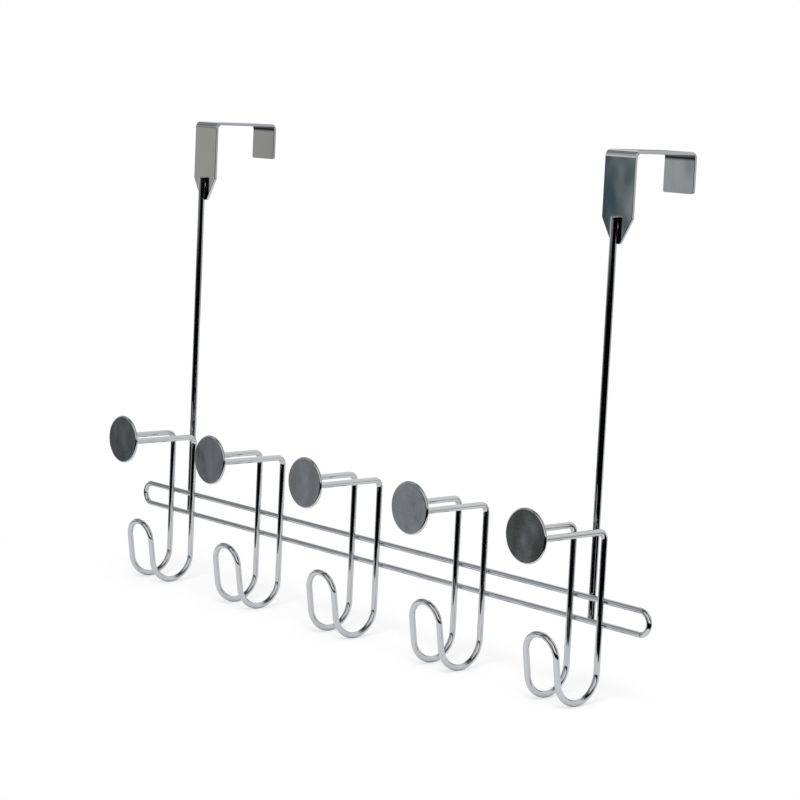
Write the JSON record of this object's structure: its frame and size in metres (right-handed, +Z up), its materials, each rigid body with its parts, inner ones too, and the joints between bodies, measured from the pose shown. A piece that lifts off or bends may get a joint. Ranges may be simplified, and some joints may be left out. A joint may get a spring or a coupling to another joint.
{
  "type": "over door hook rack",
  "caption": "Chrome wire rack of coat hooks with round end discs on a looped rail, hung over a door's top edge by folded straps.",
  "frame": {"origin": "top front edge of the door, midway between the straps: the back of the front plates and the underside of the straps", "axes": "+X along the door to the right as seen from the hooks, +Y back through the door's thickness, +Z up"},
  "size_m": [0.45, 0.104, 0.2918],
  "materials": {
    "chrome_wire": "polished",
    "chrome_sheet": "polished"
  },
  "bodies": {
    "root": {"back_rail": "chrome_wire", "hook_wire_1": "chrome_wire", "hook_wire_2": "chrome_wire", "hook_wire_3": "chrome_wire", "hook_wire_4": "chrome_wire", "hook_wire_5": "chrome_wire", "hook_disc_1": "chrome_sheet", "hook_disc_2": "chrome_sheet", "hook_disc_3": "chrome_sheet", "hook_disc_4": "chrome_sheet", "hook_disc_5": "chrome_sheet", "upright_left": "chrome_wire", "upright_right": "chrome_wire", "door_strap_left": "chrome_sheet", "door_strap_right": "chrome_sheet"}
  },
  "joints": []
}
